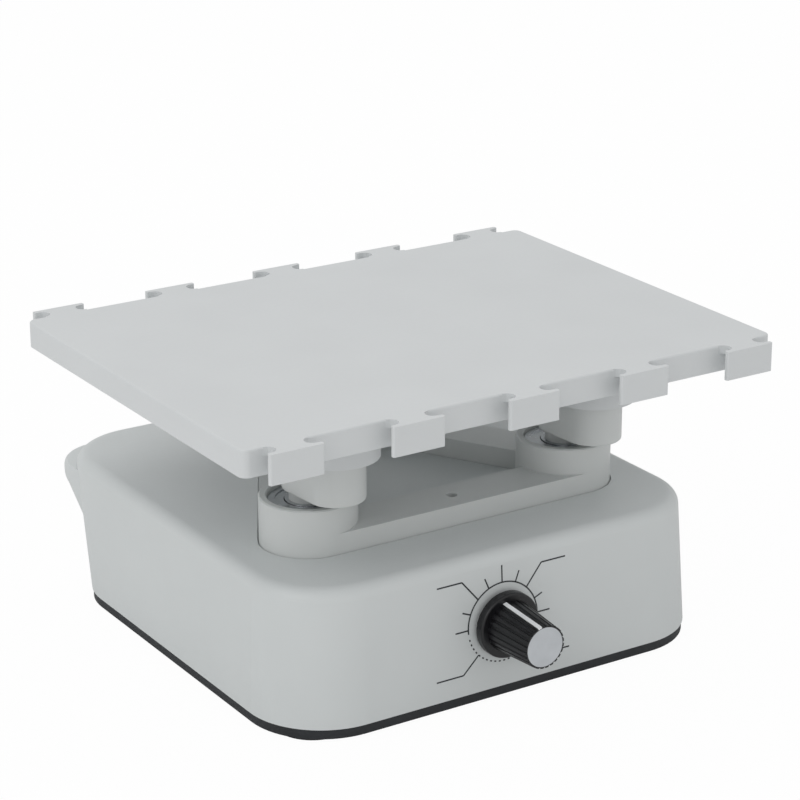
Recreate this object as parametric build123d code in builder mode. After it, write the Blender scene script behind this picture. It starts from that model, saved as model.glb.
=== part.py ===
from build123d import *

import os
from math import atan2, cos, radians, sin, sqrt

# Bench orbital shaker: a drafted housing on a black base, a triangular crank frame with three bearing
# cups, three cranks that carry a flat platform with T-shaped tabs, and a belt drive inside.
# Millimetres. The origin is the centre of the footprint on the bench, +Z is up, the knob faces -Y.

os.makedirs("parts", exist_ok=True)


# Fits and clearances
running_gap = 0.05
seat_gap = 0.1
seam_gap = 0.5
belt_gap = 0.3

# Orbit and crank layout
orbit_radius = 15.0
rest_heading = -79.0
triangle_side = 112.5
triangle_bbox_y = 9.4
bar_headings = (-90, 30, 150)

# Feet and base
foot_reach = 1.0
foot_diameter = 30.0
foot_height = 2.8
foot_inset = 20.0
foot_chamfer = 0.6
base_thickness = 3.75
base_setback = 0.5

# Housing
footprint_width = 185.6
footprint_depth = 178.0
footprint_corner = 30.0
shell_height = 51.5
top_width = 180.4
top_depth = 189.8
top_corner = 29.0
top_shift = 8.8
top_edge_radius = 5.0
wall = 3.0
roof = 5.4
groove_depth = 1.6

# Rear hood
hood_reach = 111.0
hood_width = 176.0
hood_corner = 36.0
hood_top_drop = 7.0
hood_height = 8.5
hood_slant = 9.5
hood_nose_radius = 3.6

# Crank frame
cup_diameter = 36.0
bar_height = 7.75
cup_height = 17.9
window_inset = 1.1
frame_edge_chamfer = 0.5
frame_screw_sink = 2.5
frame_screw = 4.0
frame_screw_head = 7.0
frame_screw_head_height = 2.6

# Bearings: the lower ones and the upper ones
lower_bearing = {"bore": 10.0, "outside": 30.0, "width": 9.0, "inner_land": 17.0, "outer_land": 24.0}
upper_bearing = {"bore": 10.0, "outside": 26.0, "width": 8.0, "inner_land": 14.8, "outer_land": 21.2}
shield_thickness = 0.5
shield_setback = 0.4
shield_gap = 0.3
ring_chamfer = 0.5
bearing_recess = 1.6
bearing_shoulder = 2.2
support_bearing_gap = 8.0

# Cranks
arm_clearance = 2.5
arm_height = 15.2
lower_hub_radius = 9.5
upper_hub_radius = 10.8
arm_edge_fillet = 0.8
boss_clearance = 1.2
shoulder_diameter = 14.0
circlip_thickness = 1.0
circlip_width = 2.0
circlip_groove = 0.5
pin_tail = 2.0
pin_grip = 11.0
circlip_mouth = 3.0

# Platform
platform_length = 225.0
platform_depth = 165.0
platform_corner = 3.2
skirt_height = 10.0
skirt_wall = 2.6
deck_thickness = 3.2
platform_edge_fillet = 0.8
boss_diameter = 32.0
boss_drop = 23.6
rib_thickness = 2.2
rib_height = 6.0
boss_relief_diameter = 20.0
boss_relief = 3.8
tab_count = 5
tab_root = 1.5
long_rib_pitch = 62.0
cross_rib_pitch = 72.0
cross_rib_count = 3
tab_pitch = 48.0
lip_length = 21.0
lip_height = 11.0
lip_thickness = 2.0
neck_width = 11.2
slot_gap = 6.0
neck_round = 2.9
lip_edge_fillet = 0.7

# Speed knob and potentiometer
knob_x = -4.2
knob_height = 29.4
knob_wall_gap = 1.5
knob_skirt_diameter = 25.0
knob_skirt_thickness = 3.4
knob_body_diameter = 19.6
knob_cap_diameter = 15.0
knob_length = 24.6
knob_cap_depth = 1.2
knob_flutes = 24
knob_flute_radius = 0.55
knob_rest_angle = 16.0
pointer_width = 1.5
pointer_depth = 0.5
knob_recess_diameter = 15.0
knob_recess_depth = 3.0
spot_face_depth = 0.5
pad_diameter = 28.0
pad_depth = 1.0
pot_shaft_diameter = 6.0
pot_shaft_grip = 11.0
pot_bush_diameter = 7.0
pot_bush_length = 6.5
pot_body_diameter = 24.0
pot_body_depth = 10.0
pot_nut_width = 10.0
pot_nut_thickness = 2.0
pot_washer_diameter = 12.0
pot_washer_thickness = 0.8
pot_bore_depth = 8.0
knob_nose_diameter = 16.4
knob_nose_fillet = 0.8

# Motor, bracket and belt drive
motor_x = -34.0
motor_y = -12.0
motor_diameter = 37.0
motor_height = 20.0
motor_base_gap = 0.6
motor_boss_diameter = 12.0
motor_boss_height = 3.0
motor_shaft_diameter = 6.0
motor_screw_circle = 28.0
motor_screw = 3.0
motor_screw_count = 4
motor_screw_start = 45.0
motor_screw_depth = 3.0
motor_screw_head = 6.0
motor_screw_head_height = 1.5
bracket_thickness = 2.0
bracket_width = 46.0
bracket_length = 42.0
bracket_foot = 10.0
bracket_screw = 4.0
bracket_screw_pitch = 21.0
bracket_screw_head = 7.2
bracket_screw_head_height = 2.0
motor_pulley_diameter = 16.0
driven_pulley_diameter = 60.0
pulley_flange = 1.6
pulley_flange_thickness = 1.2
pulley_hub_diameter = 20.0
pulley_hub_height = 6.5
pulley_hole_count = 5
pulley_hole_circle = 40.0
pulley_hole_diameter = 13.0
belt_thickness = 1.5
belt_width = 6.0
belt_side_gap = 0.4
belt_height = 36.0
set_screw_diameter = 4.0
set_screw_socket = 2.0
set_screw_socket_depth = 2.0
motor_shaft_tail = 1.0
motor_bore_depth = 15.0

# Control board
board_x = 42.0
board_y = -22.0
board_width = 52.0
board_depth = 62.0
board_thickness = 1.6
board_hole_inset = 4.0
standoff_height = 7.0
standoff_diameter = 6.0
board_screw = 3.0
board_screw_head = 5.5
board_screw_head_height = 2.0
capacitor_diameter = 10.0
capacitor_height = 16.0
capacitor_pitch = 15.5
block_offset = 13.0
inductor_width = 8.6
inductor_depth = 20.6
inductor_height = 8.0
chip_width = 10.4
chip_depth = 15.4
chip_height = 1.6

# Rear panel fittings
inlet_x = -52.0
switch_x = 52.0
panel_height = 20.0
inlet_flange = 14.0
inlet_barrel = 11.0
inlet_depth = 14.0
inlet_bore = 6.4
inlet_bore_depth = 9.5
inlet_pin = 2.0
inlet_flange_thickness = 2.0
inlet_nut_thickness = 2.5
switch_width = 21.0
switch_tall = 15.0
switch_depth = 16.0
bezel_border = 1.6
bezel_thickness = 1.8
rocker_gap = 0.5
rocker_tilt = 10.0

# Base screws
base_screw_diameter = 4.0
base_screw_head = 7.4
base_screw_head_height = 2.2
base_screw_socket = 3.4
base_screw_socket_depth = 1.7
base_screw_length = 12.0
screw_sink = 0.4
screw_end_gap = 1.0
post_diameter = 9.0
post_pitch_x = 160.0
post_pitch_y = 60.0
rim_height = 3.0
rim_thickness = 2.0
rim_gap = 0.3


# Levels worked out from the sizes above
base_bottom = foot_reach
shell_bottom = base_bottom + base_thickness
housing_top = shell_bottom + shell_height
roof_underside = housing_top - roof
groove_floor = housing_top - groove_depth
bar_top = housing_top + bar_height
cup_top = housing_top + cup_height
lower_bearing_top = cup_top - bearing_recess
lower_bearing_bottom = lower_bearing_top - lower_bearing["width"]
arm_bottom = cup_top + arm_clearance
arm_top = arm_bottom + arm_height
boss_bottom = arm_top + boss_clearance
platform_top = boss_bottom + boss_drop
deck_underside = platform_top - deck_thickness
upper_bearing_bottom = boss_bottom + bearing_recess
upper_bearing_top = upper_bearing_bottom + upper_bearing["width"]
support_bearing_top = lower_bearing_bottom - support_bearing_gap
support_bearing_bottom = support_bearing_top - lower_bearing["width"]
support_tube_bottom = support_bearing_bottom - bearing_shoulder

foot_pitch_x = footprint_width - 2 * foot_inset
foot_pitch_y = footprint_depth - 2 * foot_inset

pulley_height = belt_width + 2 * (belt_side_gap + pulley_flange_thickness)
pulley_bottom = belt_height - pulley_height / 2
hub_bottom = pulley_bottom - pulley_hub_height

# Crank axes: an equilateral triangle with one corner at the rear
triangle_radius = triangle_side / sqrt(3)
triangle_centre_y = triangle_bbox_y - triangle_radius / 4
triangle_centre = (0, triangle_centre_y)
crank_axes = {
    "rear": (0, triangle_centre_y + triangle_radius),
    "left": (-triangle_side / 2, triangle_centre_y - triangle_radius / 2),
    "right": (triangle_side / 2, triangle_centre_y - triangle_radius / 2),
}
orbit = (orbit_radius * cos(radians(rest_heading)), orbit_radius * sin(radians(rest_heading)))
platform_centre = (orbit[0], triangle_bbox_y + orbit[1])
bar_middle_distance = triangle_radius / 2 + (cup_diameter / 2 - window_inset) / 2


def crank_pin_axis(side):
    """The upper pin axis of one crank at rest."""
    return (crank_axes[side][0] + orbit[0], crank_axes[side][1] + orbit[1])


def frame_outline(gap=0.0):
    """Outer outline of the crank frame: the triangle of cup axes, grown by the cup radius."""
    with BuildSketch() as outline_sketch:
        with Locations(triangle_centre):
            RegularPolygon(triangle_radius, 3, rotation=90)
        offset(amount=cup_diameter / 2 + gap)
    return outline_sketch.sketch


def frame_window(gap=0.0):
    """Window inside the bars of the crank frame, cut back round the cups."""
    with BuildSketch() as window_sketch:
        with Locations(triangle_centre):
            RegularPolygon(triangle_radius - 2 * (window_inset - gap), 3, rotation=90)
        with Locations(*crank_axes.values()):
            Circle(cup_diameter / 2 - gap, mode=Mode.SUBTRACT)
    return window_sketch.sketch


def outline(level):
    """Width, depth, corner radius and shift of the drafted housing at one height."""
    rise = (level - shell_bottom) / shell_height
    return (
        footprint_width + (top_width - footprint_width) * rise,
        footprint_depth + (top_depth - footprint_depth) * rise,
        footprint_corner + (top_corner - footprint_corner) * rise,
        top_shift * rise,
    )


def wall_lean(front):
    """How far the front or the rear wall leans back per millimetre of height."""
    bottom = footprint_depth / 2
    top = top_depth / 2 - top_shift if front else top_depth / 2 + top_shift
    return (top - bottom) / shell_height


def wall_reach(front, height):
    """Distance of the front or the rear outer wall from the X axis at one height."""
    return footprint_depth / 2 + wall_lean(front) * (height - shell_bottom)


def rear_plane(x):
    """Plane on the outside of the leaning rear wall, facing out, with its Y axis up the wall."""
    lean = atan2(wall_lean(False), 1)
    return Plane(
        origin=(x, wall_reach(False, panel_height), panel_height),
        x_dir=(-1, 0, 0),
        z_dir=(0, cos(lean), -sin(lean)),
    )


bar_middles = [
    (
        triangle_centre[0] + bar_middle_distance * cos(radians(angle)),
        triangle_centre[1] + bar_middle_distance * sin(radians(angle)),
    )
    for angle in bar_headings
]
front_face_y = -wall_reach(True, knob_height)
spot_face_y = front_face_y + spot_face_depth
pot_seat_y = front_face_y + wall + pad_depth
knob_back_y = front_face_y - knob_wall_gap


# Housing shell: a drafted moulding, rounded on top, open underneath, with a lip across its back
with BuildPart() as housing_shell:
    with BuildSketch(Plane.XY.offset(shell_bottom)):
        RectangleRounded(footprint_width, footprint_depth, footprint_corner)
    with BuildSketch(Plane.XY.offset(housing_top)):
        with Locations((0, top_shift)):
            RectangleRounded(top_width, top_depth, top_corner)
    loft()
    fillet(housing_shell.faces().sort_by(Axis.Z)[-1].edges(), top_edge_radius)
    # The hood shelters the rear fittings: a slanted underside, an upright nose and a flat top
    hood_level = housing_top - hood_top_drop - hood_height
    with BuildSketch(Plane.XY.offset(hood_level - hood_slant)):
        with Locations((0, wall_reach(False, hood_level - hood_slant) / 2)):
            RectangleRounded(hood_width, wall_reach(False, hood_level - hood_slant), hood_corner)
    with BuildSketch(Plane.XY.offset(hood_level)):
        with Locations((0, hood_reach / 2)):
            RectangleRounded(hood_width, hood_reach, hood_corner)
    loft()
    with BuildSketch(Plane.XY.offset(hood_level)):
        with Locations((0, hood_reach / 2)):
            RectangleRounded(hood_width, hood_reach, hood_corner)
    extrude(amount=hood_height)
    hood_rim = (
        housing_shell.edges()
        .filter_by(GeomType.LINE)
        .filter_by(Axis.X)
        .filter_by(lambda e: e.center().Y > hood_reach - 0.01)
    )
    fillet(hood_rim, hood_nose_radius)
    # Hollow inside, drafted with the walls
    for level in (shell_bottom, roof_underside):
        width, depth, corner, shift = outline(level)
        with BuildSketch(Plane.XY.offset(level)):
            with Locations((0, shift)):
                RectangleRounded(width - 2 * wall, depth - 2 * wall, corner - wall)
    loft(mode=Mode.SUBTRACT)
    # Groove that takes the foot of the crank frame, and the hole for its rear tube
    with BuildSketch(Plane.XY.offset(groove_floor)):
        add(frame_outline(seam_gap))
        add(frame_window(-seam_gap), mode=Mode.SUBTRACT)
    extrude(amount=groove_depth, mode=Mode.SUBTRACT)
    with BuildSketch(Plane.XY.offset(roof_underside)):
        with Locations(crank_axes["rear"]):
            Circle(cup_diameter / 2 + seat_gap)
    extrude(amount=roof, mode=Mode.SUBTRACT)
    with BuildSketch(Plane.XY.offset(roof_underside)):
        with Locations(*bar_middles):
            Circle(frame_screw / 2 + seat_gap)
    extrude(amount=roof, mode=Mode.SUBTRACT)
    # Posts that the base screws pull on
    with BuildSketch(Plane.XY.offset(shell_bottom)):
        with GridLocations(post_pitch_x, post_pitch_y, 2, 2):
            Circle(post_diameter / 2)
    extrude(amount=roof_underside - shell_bottom)
    with BuildSketch(Plane.XY.offset(shell_bottom)):
        with GridLocations(post_pitch_x, post_pitch_y, 2, 2):
            Circle(base_screw_diameter / 2)
    extrude(amount=base_screw_length, mode=Mode.SUBTRACT)
    # Flat seats inside and outside for the potentiometer, and its hole
    with BuildSketch(Plane.XZ.offset(-pot_seat_y)):
        with Locations((knob_x, knob_height)):
            Circle(pad_diameter / 2)
    extrude(amount=wall)
    with BuildSketch(Plane.XZ.offset(-spot_face_y)):
        with Locations((knob_x, knob_height)):
            Circle(pot_washer_diameter / 2 + seam_gap)
    extrude(amount=wall, mode=Mode.SUBTRACT)
    with BuildSketch(Plane.XZ.offset(-pot_seat_y)):
        with Locations((knob_x, knob_height)):
            Circle(pot_bush_diameter / 2 + seat_gap)
    extrude(amount=2 * wall, mode=Mode.SUBTRACT)
    # Holes for the rear fittings, square to the leaning wall
    with BuildSketch(rear_plane(inlet_x).offset(-2 * wall)):
        Circle(inlet_barrel / 2 + seat_gap)
    extrude(amount=3 * wall, mode=Mode.SUBTRACT)
    with BuildSketch(rear_plane(switch_x).offset(-2 * wall)):
        Rectangle(switch_width + 2 * seat_gap, switch_tall + 2 * seat_gap)
    extrude(amount=3 * wall, mode=Mode.SUBTRACT)
housing_shell.part.label = "housing_shell"
export_step(housing_shell.part, "parts/housing_shell.step")


# Base plate: closes the housing from below, with a rim that locates inside the walls
with BuildPart() as base_plate:
    with BuildSketch(Plane.XY.offset(base_bottom)):
        RectangleRounded(
            footprint_width - 2 * base_setback,
            footprint_depth - 2 * base_setback,
            footprint_corner - base_setback,
        )
    extrude(amount=base_thickness)
    rim_inset = wall + rim_gap
    with BuildSketch(Plane.XY.offset(shell_bottom)):
        RectangleRounded(
            footprint_width - 2 * rim_inset,
            footprint_depth - 2 * rim_inset,
            footprint_corner - rim_inset,
        )
        RectangleRounded(
            footprint_width - 2 * (rim_inset + rim_thickness),
            footprint_depth - 2 * (rim_inset + rim_thickness),
            footprint_corner - rim_inset - rim_thickness,
            mode=Mode.SUBTRACT,
        )
    extrude(amount=rim_height)
    with BuildSketch(Plane.XY.offset(base_bottom)):
        with GridLocations(foot_pitch_x, foot_pitch_y, 2, 2):
            Circle(foot_diameter / 2 + seat_gap)
    extrude(amount=foot_height - foot_reach, mode=Mode.SUBTRACT)
    with BuildSketch(Plane.XY.offset(base_bottom)):
        with GridLocations(post_pitch_x, post_pitch_y, 2, 2):
            Circle(base_screw_head / 2 + seat_gap)
    extrude(amount=base_screw_head_height, mode=Mode.SUBTRACT)
    with BuildSketch(Plane.XY.offset(base_bottom)):
        with GridLocations(post_pitch_x, post_pitch_y, 2, 2):
            Circle(base_screw_diameter / 2 + seat_gap)
    extrude(amount=base_thickness, mode=Mode.SUBTRACT)
base_plate.part.label = "base_plate"
export_step(base_plate.part, "parts/base_plate.step")


# Rubber feet, let into the base at its corners
with BuildPart() as rubber_feet:
    with BuildSketch():
        with GridLocations(foot_pitch_x, foot_pitch_y, 2, 2):
            Circle(foot_diameter / 2)
    extrude(amount=foot_height)
    chamfer(rubber_feet.faces().filter_by(Axis.Z).group_by(Axis.Z)[0].edges(), foot_chamfer)
rubber_feet.part.label = "rubber_feet"
export_step(rubber_feet.part, "parts/rubber_feet.step")


# Base screws: pan heads sunk in the base, shanks up into the posts
with BuildPart() as base_screws:
    head_level = base_bottom + base_screw_head_height
    with BuildSketch(Plane.XY.offset(base_bottom + screw_sink)):
        with GridLocations(post_pitch_x, post_pitch_y, 2, 2):
            Circle(base_screw_head / 2)
    extrude(amount=base_screw_head_height - screw_sink)
    with BuildSketch(Plane.XY.offset(head_level)):
        with GridLocations(post_pitch_x, post_pitch_y, 2, 2):
            Circle(base_screw_diameter / 2)
    extrude(amount=base_thickness - base_screw_head_height + base_screw_length - screw_end_gap)
    with BuildSketch(Plane.XY.offset(base_bottom + screw_sink)):
        with GridLocations(post_pitch_x, post_pitch_y, 2, 2):
            RegularPolygon(base_screw_socket / 2, 6)
    extrude(amount=base_screw_socket_depth, mode=Mode.SUBTRACT)
base_screws.part.label = "base_screws"
export_step(base_screws.part, "parts/base_screws.step")


# Crank frame: three bars and three bearing cups in one casting, with a tube below the rear cup
with BuildPart() as crank_frame:
    with BuildSketch(Plane.XY.offset(groove_floor)):
        with Locations(*crank_axes.values()):
            Circle(cup_diameter / 2)
    extrude(amount=cup_top - groove_floor)
    with BuildSketch(Plane.XY.offset(support_tube_bottom)):
        with Locations(crank_axes["rear"]):
            Circle(cup_diameter / 2)
    extrude(amount=groove_floor - support_tube_bottom)
    # Bearing seats and the shoulders between them
    with BuildSketch(Plane.XY.offset(support_tube_bottom)):
        with Locations(*crank_axes.values()):
            Circle(lower_bearing["outside"] / 2 - bearing_shoulder)
    extrude(amount=lower_bearing_bottom - support_tube_bottom, mode=Mode.SUBTRACT)
    with BuildSketch(Plane.XY.offset(lower_bearing_bottom)):
        with Locations(*crank_axes.values()):
            Circle(lower_bearing["outside"] / 2)
    extrude(amount=cup_top - lower_bearing_bottom, mode=Mode.SUBTRACT)
    with BuildSketch(Plane.XY.offset(support_tube_bottom)):
        with Locations(crank_axes["rear"]):
            Circle(lower_bearing["outside"] / 2)
    extrude(amount=support_bearing_top - support_tube_bottom, mode=Mode.SUBTRACT)
    chamfer(crank_frame.faces().filter_by(Axis.Z).group_by(Axis.Z)[-1].edges(), frame_edge_chamfer)
    # Bars, with a screw hole in the middle of each
    with BuildSketch(Plane.XY.offset(groove_floor)):
        add(frame_outline())
        add(frame_window(), mode=Mode.SUBTRACT)
        with Locations(*crank_axes.values()):
            Circle(lower_bearing["outside"] / 2, mode=Mode.SUBTRACT)
        with Locations(*bar_middles):
            Circle(frame_screw / 2 + seat_gap, mode=Mode.SUBTRACT)
    extrude(amount=bar_height + groove_depth)
crank_frame.part.label = "crank_frame"
export_step(crank_frame.part, "parts/crank_frame.step")


# Frame screws: up through the roof into the bars, heads inside the housing
with BuildPart() as frame_screws:
    with BuildSketch(Plane.XY.offset(roof_underside - frame_screw_head_height)):
        with Locations(*bar_middles):
            Circle(frame_screw_head / 2)
    extrude(amount=frame_screw_head_height)
    with BuildSketch(Plane.XY.offset(roof_underside)):
        with Locations(*bar_middles):
            Circle(frame_screw / 2)
    extrude(amount=bar_top - roof_underside - frame_screw_sink)
frame_screws.part.label = "frame_screws"
export_step(frame_screws.part, "parts/frame_screws.step")


def outer_ring(bearing, bottom, axes):
    """Outer rings of sealed ball bearings, each with the two shields that are crimped into it."""
    inner = bearing["inner_land"] / 2 + shield_gap
    land = bearing["outer_land"] / 2
    with BuildPart() as rings:
        for axis in axes:
            with BuildSketch(Plane.XY.offset(bottom)):
                with Locations(axis):
                    Circle(bearing["outside"] / 2)
                    Circle(land, mode=Mode.SUBTRACT)
            extrude(amount=bearing["width"])
        chamfer(
            rings.edges().filter_by(GeomType.CIRCLE).filter_by(lambda e: e.radius > land + ring_chamfer),
            ring_chamfer,
        )
        for axis in axes:
            lower_shield = bottom + shield_setback
            upper_shield = bottom + bearing["width"] - shield_setback - shield_thickness
            for level in (lower_shield, upper_shield):
                with BuildSketch(Plane.XY.offset(level)):
                    with Locations(axis):
                        Circle(land)
                        Circle(inner, mode=Mode.SUBTRACT)
                extrude(amount=shield_thickness)
    return rings.part


def inner_ring(bearing, bottom, axes):
    """Inner rings of the same bearings."""
    with BuildPart() as rings:
        for axis in axes:
            with BuildSketch(Plane.XY.offset(bottom)):
                with Locations(axis):
                    Circle(bearing["inner_land"] / 2)
                    Circle(bearing["bore"] / 2, mode=Mode.SUBTRACT)
            extrude(amount=bearing["width"])
    return rings.part


# Bearings in the cups, and the second one that steadies the driven crank
lower_outer_rings = outer_ring(lower_bearing, lower_bearing_bottom, list(crank_axes.values()))
lower_outer_rings.label = "lower_outer_rings"
export_step(lower_outer_rings, "parts/lower_outer_rings.step")

support_outer_ring = outer_ring(lower_bearing, support_bearing_bottom, [crank_axes["rear"]])
support_outer_ring.label = "support_outer_ring"
export_step(support_outer_ring, "parts/support_outer_ring.step")


# Cranks: an arm with a pin below and a pin above, the bearing rings that turn with it, and circlips
for side, lower_axis in crank_axes.items():
    upper_axis = crank_pin_axis(side)
    driven = side == "rear"
    pin_radius = lower_bearing["bore"] / 2
    lowest_ring = support_bearing_bottom if driven else lower_bearing_bottom
    pin_end = hub_bottom if driven else lower_bearing_bottom - pin_tail

    with BuildPart() as crank_arm:
        with BuildSketch(Plane.XY.offset(arm_bottom)):
            with Locations(lower_axis):
                Circle(lower_hub_radius)
            with Locations(upper_axis):
                Circle(upper_hub_radius)
            make_hull()
        extrude(amount=arm_height)
        fillet(crank_arm.faces().filter_by(Axis.Z).edges(), arm_edge_fillet)
        with BuildSketch(Plane.XY.offset(lower_bearing_top)):
            with Locations(lower_axis):
                Circle(shoulder_diameter / 2)
        extrude(amount=arm_bottom - lower_bearing_top)
        with BuildSketch(Plane.XY.offset(arm_top)):
            with Locations(upper_axis):
                Circle(shoulder_diameter / 2)
        extrude(amount=upper_bearing_bottom - arm_top)
        with BuildSketch(Plane.XY.offset(lower_bearing_top)):
            with Locations(lower_axis):
                Circle(pin_radius)
        extrude(amount=arm_bottom - lower_bearing_top + pin_grip, mode=Mode.SUBTRACT)
        with BuildSketch(Plane.XY.offset(arm_top - pin_grip)):
            with Locations(upper_axis):
                Circle(pin_radius)
        extrude(amount=upper_bearing_bottom - arm_top + pin_grip, mode=Mode.SUBTRACT)
    crank_arm.part.label = f"crank_arm_{side}"
    export_step(crank_arm.part, f"parts/crank_arm_{side}.step")

    with BuildPart() as crank_pins:
        with BuildSketch(Plane.XY.offset(pin_end)):
            with Locations(lower_axis):
                Circle(pin_radius)
        extrude(amount=arm_bottom + pin_grip - pin_end)
        with BuildSketch(Plane.XY.offset(arm_top - pin_grip)):
            with Locations(upper_axis):
                Circle(pin_radius)
        extrude(amount=upper_bearing_top + pin_tail - arm_top + pin_grip)
        for axis, level in ((lower_axis, lowest_ring - circlip_thickness), (upper_axis, upper_bearing_top)):
            with BuildSketch(Plane.XY.offset(level)):
                with Locations(axis):
                    Circle(pin_radius)
                    Circle(pin_radius - circlip_groove, mode=Mode.SUBTRACT)
            extrude(amount=circlip_thickness, mode=Mode.SUBTRACT)
    crank_pins.part.label = f"crank_pins_{side}"
    export_step(crank_pins.part, f"parts/crank_pins_{side}.step")

    with BuildPart() as circlips:
        for axis, level in ((lower_axis, lowest_ring - circlip_thickness), (upper_axis, upper_bearing_top)):
            with BuildSketch(Plane.XY.offset(level)):
                with Locations(axis):
                    Circle(pin_radius - circlip_groove + circlip_width)
                    Circle(pin_radius - circlip_groove, mode=Mode.SUBTRACT)
                    with Locations((0, pin_radius)):
                        Rectangle(circlip_mouth, 2 * circlip_width, mode=Mode.SUBTRACT)
            extrude(amount=circlip_thickness)
    circlips.part.label = f"crank_circlips_{side}"
    export_step(circlips.part, f"parts/crank_circlips_{side}.step")

    rings = inner_ring(lower_bearing, lower_bearing_bottom, [lower_axis])
    rings += inner_ring(upper_bearing, upper_bearing_bottom, [upper_axis])
    if driven:
        rings += inner_ring(lower_bearing, support_bearing_bottom, [lower_axis])
    rings.label = f"inner_rings_{side}"
    export_step(rings, f"parts/inner_rings_{side}.step")


# Upper bearing rings, held in the bosses of the platform
upper_axes = [crank_pin_axis(side) for side in crank_axes]
upper_outer_rings = outer_ring(upper_bearing, upper_bearing_bottom, upper_axes)
upper_outer_rings.label = "upper_outer_rings"
export_step(upper_outer_rings, "parts/upper_outer_rings.step")


# Platform: a skirted tray with ribs and three bosses below, and T-shaped tabs along two edges
with BuildPart() as platform:
    with BuildSketch(Plane.XY.offset(platform_top - skirt_height)):
        with Locations(platform_centre):
            RectangleRounded(platform_length, platform_depth, platform_corner)
    extrude(amount=skirt_height)
    fillet(platform.faces().sort_by(Axis.Z)[-1].edges(), platform_edge_fillet)
    with BuildSketch(Plane.XY.offset(platform_top - skirt_height)):
        with Locations(platform_centre):
            Rectangle(platform_length - 2 * skirt_wall, platform_depth - 2 * skirt_wall)
    extrude(amount=skirt_height - deck_thickness, mode=Mode.SUBTRACT)
    # Ribs under the deck
    with BuildSketch(Plane.XY.offset(deck_underside - rib_height)):
        with Locations(platform_centre):
            with GridLocations(0, long_rib_pitch, 1, 2):
                Rectangle(platform_length - 2 * skirt_wall, rib_thickness)
            with GridLocations(cross_rib_pitch, 0, cross_rib_count, 1):
                Rectangle(rib_thickness, platform_depth - 2 * skirt_wall)
    extrude(amount=rib_height)
    # Bosses for the upper bearings
    with BuildSketch(Plane.XY.offset(boss_bottom)):
        with Locations(*upper_axes):
            Circle(boss_diameter / 2)
    extrude(amount=deck_underside - boss_bottom)
    with BuildSketch(Plane.XY.offset(boss_bottom)):
        with Locations(*upper_axes):
            Circle(upper_bearing["outside"] / 2)
    extrude(amount=upper_bearing_top - boss_bottom, mode=Mode.SUBTRACT)
    with BuildSketch(Plane.XY.offset(upper_bearing_top)):
        with Locations(*upper_axes):
            Circle(boss_relief_diameter / 2)
    extrude(amount=boss_relief, mode=Mode.SUBTRACT)
    # T-shaped tabs: a neck level with the deck and an upright lip across its end
    for turn in (0, 180):
        edge = Plane(origin=(*platform_centre, 0), z_dir=(0, 0, 1)).rotated((0, 0, turn))
        neck_round_x = neck_width / 2 + neck_round
        with BuildSketch(edge.offset(platform_top - deck_thickness)):
            with Locations((0, -platform_depth / 2 - slot_gap / 2)):
                with GridLocations(tab_pitch, 0, tab_count, 1):
                    Rectangle(2 * neck_round_x, slot_gap + 2 * tab_root)
                    with Locations((-neck_round_x, 0), (neck_round_x, 0)):
                        Circle(neck_round, mode=Mode.SUBTRACT)
        extrude(amount=deck_thickness)
        with BuildSketch(edge.offset(platform_top - lip_height)):
            with Locations((0, -platform_depth / 2 - slot_gap - lip_thickness / 2)):
                with GridLocations(tab_pitch, 0, tab_count, 1):
                    RectangleRounded(lip_length, lip_thickness, lip_edge_fillet)
        extrude(amount=lip_height)
platform.part.label = "platform"
export_step(platform.part, "parts/platform.step")


# Driven pulley on the rear crank, with flanges, lightening holes and a hub below
with BuildPart() as driven_pulley:
    with BuildSketch(Plane.XY.offset(pulley_bottom)):
        with Locations(crank_axes["rear"]):
            Circle(driven_pulley_diameter / 2 + pulley_flange)
            Circle(lower_bearing["bore"] / 2, mode=Mode.SUBTRACT)
            with PolarLocations(pulley_hole_circle / 2, pulley_hole_count):
                Circle(pulley_hole_diameter / 2, mode=Mode.SUBTRACT)
    extrude(amount=pulley_height)
    with BuildSketch(Plane.XY.offset(pulley_bottom + pulley_flange_thickness)):
        with Locations(crank_axes["rear"]):
            Circle(driven_pulley_diameter / 2 + 2 * pulley_flange)
            Circle(driven_pulley_diameter / 2, mode=Mode.SUBTRACT)
    extrude(amount=belt_width + 2 * belt_side_gap, mode=Mode.SUBTRACT)
    with BuildSketch(Plane.XY.offset(hub_bottom)):
        with Locations(crank_axes["rear"]):
            Circle(pulley_hub_diameter / 2)
            Circle(lower_bearing["bore"] / 2, mode=Mode.SUBTRACT)
    extrude(amount=pulley_hub_height)
    with BuildSketch(Plane.XZ.offset(-crank_axes["rear"][1])):
        with Locations((crank_axes["rear"][0], hub_bottom + pulley_hub_height / 2)):
            Circle(set_screw_diameter / 2)
    extrude(amount=pulley_hub_diameter, mode=Mode.SUBTRACT)
driven_pulley.part.label = "driven_pulley"
export_step(driven_pulley.part, "parts/driven_pulley.step")

with BuildPart() as pulley_set_screw:
    with BuildSketch(Plane.XZ.offset(-crank_axes["rear"][1] + lower_bearing["bore"] / 2)):
        with Locations((crank_axes["rear"][0], hub_bottom + pulley_hub_height / 2)):
            Circle(set_screw_diameter / 2)
    extrude(amount=(pulley_hub_diameter - lower_bearing["bore"]) / 2)
    with BuildSketch(Plane.XZ.offset(-crank_axes["rear"][1] + pulley_hub_diameter / 2)):
        with Locations((crank_axes["rear"][0], hub_bottom + pulley_hub_height / 2)):
            RegularPolygon(set_screw_socket / 2, 6)
    extrude(amount=-set_screw_socket_depth, mode=Mode.SUBTRACT)
pulley_set_screw.part.label = "pulley_set_screw"
export_step(pulley_set_screw.part, "parts/pulley_set_screw.step")


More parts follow.
